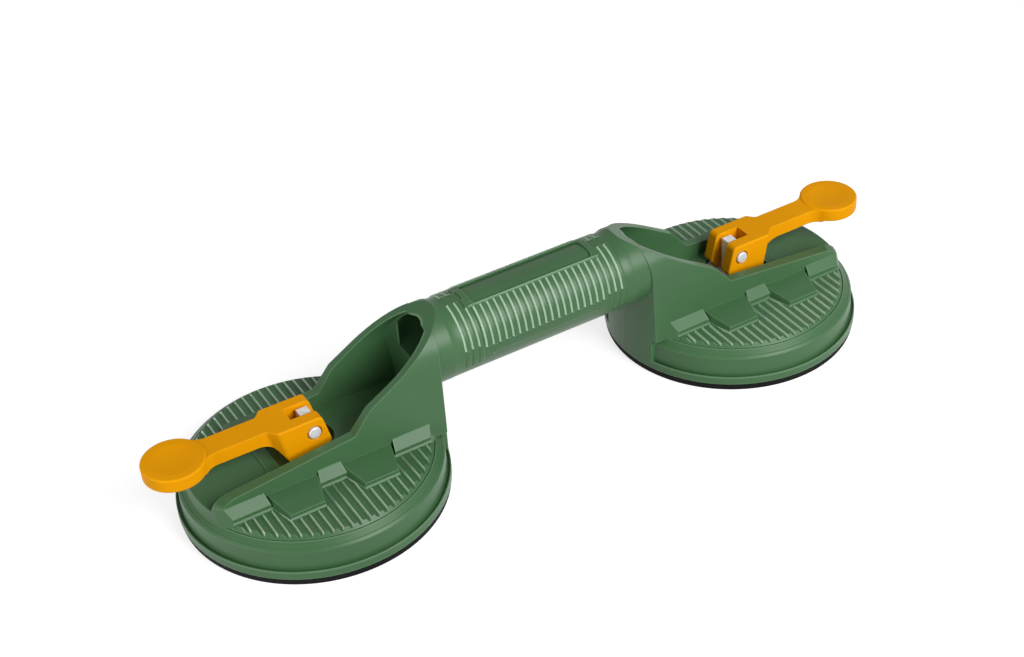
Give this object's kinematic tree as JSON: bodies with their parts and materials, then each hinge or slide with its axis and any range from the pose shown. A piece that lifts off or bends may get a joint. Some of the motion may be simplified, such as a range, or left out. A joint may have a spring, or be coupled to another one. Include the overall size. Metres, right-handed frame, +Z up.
{
  "type": "suction lifter",
  "caption": "Hand lifter for floor tiles: a tubular handle joins round suction heads, each with a rubber pad drawn up by a cam lever.",
  "frame": {"origin": "midway between the two cup centres, on the surface that the pads stand on", "axes": "+X along the handle from the left head to the right head, +Z up, -Y towards the side that the picture shows"},
  "size_m": [0.3618, 0.118, 0.071],
  "materials": {
    "body_plastic": "satin, finely textured green moulding",
    "lever_plastic": "smooth satin orange moulding",
    "pin_steel": "zinc plated",
    "stud_steel": "zinc plated",
    "plate_steel": "zinc plated sheet",
    "spring_steel": "bright spring wire",
    "pad_rubber": "matt black rubber"
  },
  "bodies": {
    "handle": {"handle_body": "body_plastic", "rubber_pad_left": "pad_rubber", "rubber_pad_right": "pad_rubber", "wear_plate_left": "plate_steel", "wear_plate_right": "plate_steel", "return_spring_left": "spring_steel", "return_spring_right": "spring_steel"},
    "left_stud": {"lift_stud_left": "stud_steel", "pull_plate_left": "plate_steel"},
    "right_stud": {"lift_stud_right": "stud_steel", "pull_plate_right": "plate_steel"},
    "left_lever": {"lever_left": "lever_plastic", "lever_pin_left": "pin_steel", "pin_ring_left": "pin_steel"},
    "right_lever": {"lever_right": "lever_plastic", "lever_pin_right": "pin_steel", "pin_ring_right": "pin_steel"}
  },
  "joints": [
    {"name": "left_stud_slide", "type": "slide", "parent": "handle", "child": "left_stud", "axis": [0, 0, 1], "range_m": [-0.003, 0], "deforming": ["rubber_pad_left", "return_spring_left"]},
    {"name": "right_stud_slide", "type": "slide", "parent": "handle", "child": "right_stud", "axis": [0, 0, 1], "range_m": [-0.003, 0], "deforming": ["rubber_pad_right", "return_spring_right"]},
    {"name": "left_lever_hinge", "type": "hinge", "parent": "left_stud", "child": "left_lever", "pos_m": [-0.10945, 0, 0.03785], "axis": [0, 1, 0], "range_deg": [0, 100]},
    {"name": "right_lever_hinge", "type": "hinge", "parent": "right_stud", "child": "right_lever", "pos_m": [0.10945, 0, 0.03785], "axis": [0, -1, 0], "range_deg": [0, 100]}
  ],
  "couplings": [
    {"joint": "left_stud_slide", "follows": "left_lever_hinge", "m_per_rad": -0.0017188},
    {"joint": "right_stud_slide", "follows": "right_lever_hinge", "m_per_rad": -0.0017188}
  ]
}
